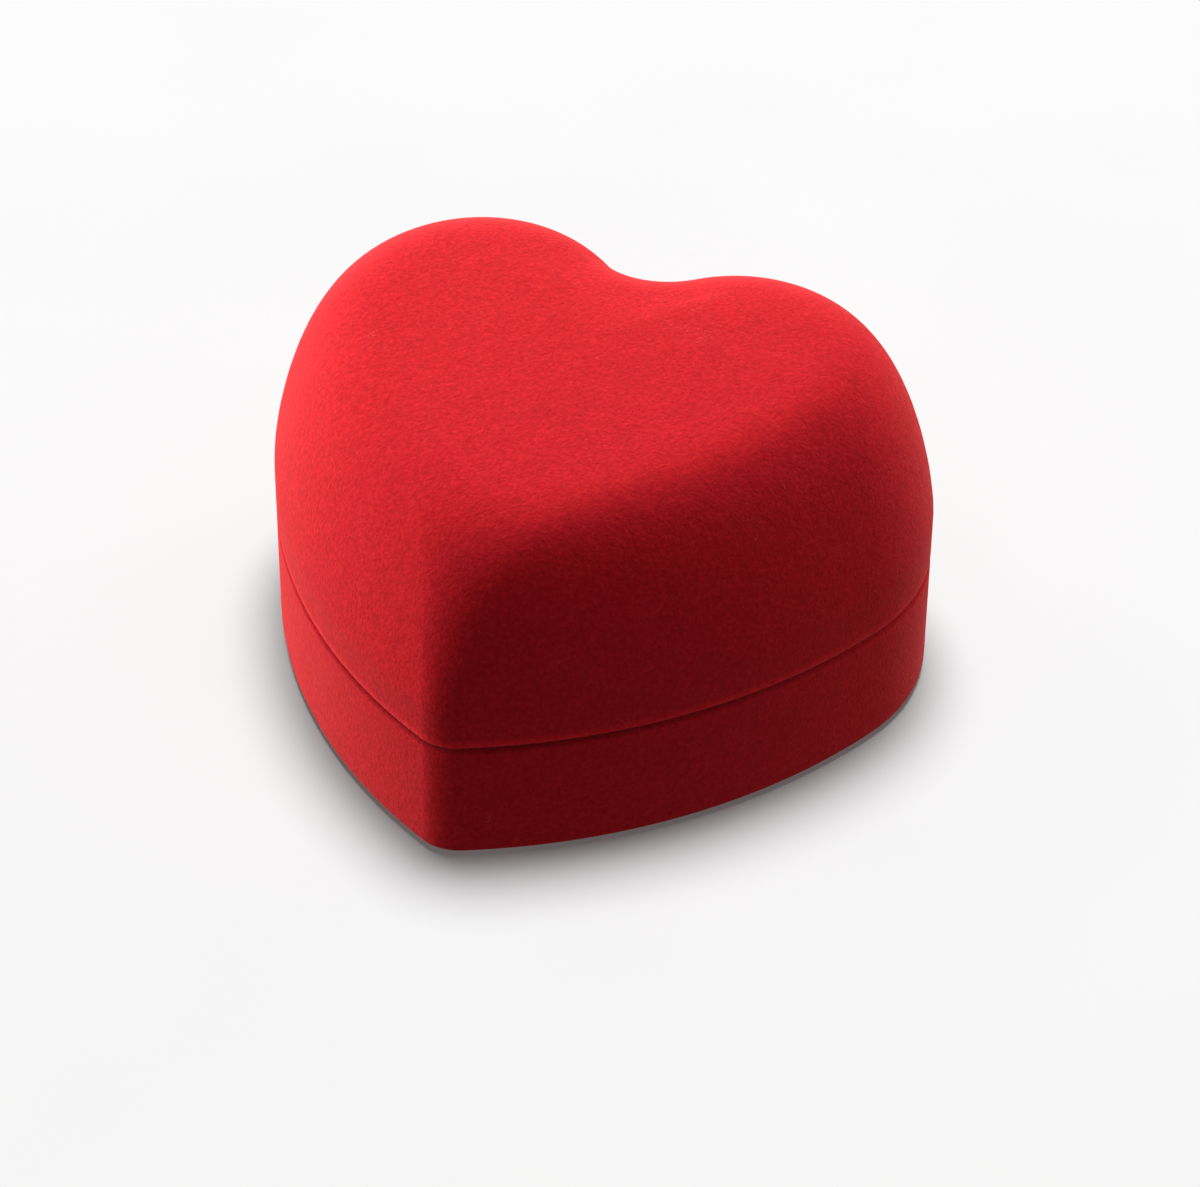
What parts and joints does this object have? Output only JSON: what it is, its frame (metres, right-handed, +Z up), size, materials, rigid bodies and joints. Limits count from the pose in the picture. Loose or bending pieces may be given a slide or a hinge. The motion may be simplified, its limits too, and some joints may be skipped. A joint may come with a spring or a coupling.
{
  "type": "wind up music box",
  "caption": "Heart-shaped flocked keepsake box with a hinged domed lid, a lined trinket tray and a wind-up pinned-cylinder musical movement under a clear cover.",
  "frame": {"origin": "centre of the box's footprint, at the height it stands on", "axes": "+Z up, the heart's tip towards -Y, the hinge at +Y, +X across the lobes"},
  "size_m": [0.1, 0.0941, 0.0554],
  "materials": {
    "red_flock": "short red flock over moulded plastic",
    "red_felt": "pressed felt",
    "red_satin": "woven satin",
    "clear_plastic": "clear polished",
    "steel": "ground",
    "brass": "satin",
    "cast_bed": "gold-lacquered zinc casting",
    "black_plastic": "moulded"
  },
  "bodies": {
    "base": {"base_shell": "red_flock", "base_felt": "red_felt", "hinge_pin": "steel", "tray": "red_flock", "trinket_pad": "red_satin", "movement_cover": "clear_plastic", "bedplate": "cast_bed", "bed_screw_1": "steel", "bed_screw_2": "steel", "bed_screw_3": "steel", "barrel_bridge": "cast_bed", "bridge_screw_1": "steel", "bridge_screw_2": "steel", "comb": "steel", "comb_screw_1": "steel", "comb_screw_2": "steel", "side_plate": "brass", "side_plate_screw": "steel", "governor_cage": "brass", "cage_screw": "steel"},
    "lid": {"lid_shell": "red_flock", "lid_lining": "red_satin"},
    "winder": {"winding_arbor": "steel", "winding_key": "steel"},
    "barrel": {"barrel_drum": "brass", "mainspring": "steel", "crown_wheel": "brass"},
    "cylinder": {"cylinder": "brass", "cylinder_cap_left": "brass", "cylinder_cap_right": "brass", "drive_pinion": "brass", "cylinder_gear": "brass", "cylinder_arbor": "steel"},
    "governor": {"governor_arbor": "steel", "worm_wheel": "brass"},
    "fly": {"worm": "steel", "fly": "black_plastic"},
    "stop": {"stop_rod": "steel", "stop_pad": "red_felt"}
  },
  "joints": [
    {"name": "lid_hinge", "type": "hinge", "parent": "base", "child": "lid", "pos_m": [0, 0.04399, 0.0191], "axis": [-1, 0, 0], "range_deg": [0, 105]},
    {"name": "key_wind", "type": "hinge", "parent": "base", "child": "winder", "pos_m": [0.013, 0.01019, 0.0017], "axis": [0, 0, 1], "continuous": true},
    {"name": "barrel_spin", "type": "hinge", "parent": "base", "child": "barrel", "pos_m": [0.013, 0.01019, 0.0131], "axis": [0, 0, 1], "continuous": true},
    {"name": "cylinder_spin", "type": "hinge", "parent": "base", "child": "cylinder", "pos_m": [-0.0205, 0.01019, 0.02361], "axis": [1, 0, 0], "continuous": true},
    {"name": "governor_spin", "type": "hinge", "parent": "base", "child": "governor", "pos_m": [-0.0268, 0.01819, 0.02361], "axis": [1, 0, 0], "continuous": true},
    {"name": "fly_spin", "type": "hinge", "parent": "base", "child": "fly", "pos_m": [-0.02605, 0.02579, 0.0131], "axis": [0, 0, 1], "continuous": true},
    {"name": "stop_slide", "type": "slide", "parent": "base", "child": "stop", "axis": [0, 0, 1], "range_m": [0, 0.0015]}
  ],
  "couplings": [
    {"joint": "cylinder_spin", "follows": "barrel_spin", "ratio": -3.3333},
    {"joint": "governor_spin", "follows": "barrel_spin", "ratio": 13.333},
    {"joint": "fly_spin", "follows": "barrel_spin", "ratio": -320},
    {"joint": "stop_slide", "follows": "lid_hinge", "m_per_rad": 0.00081851}
  ]
}
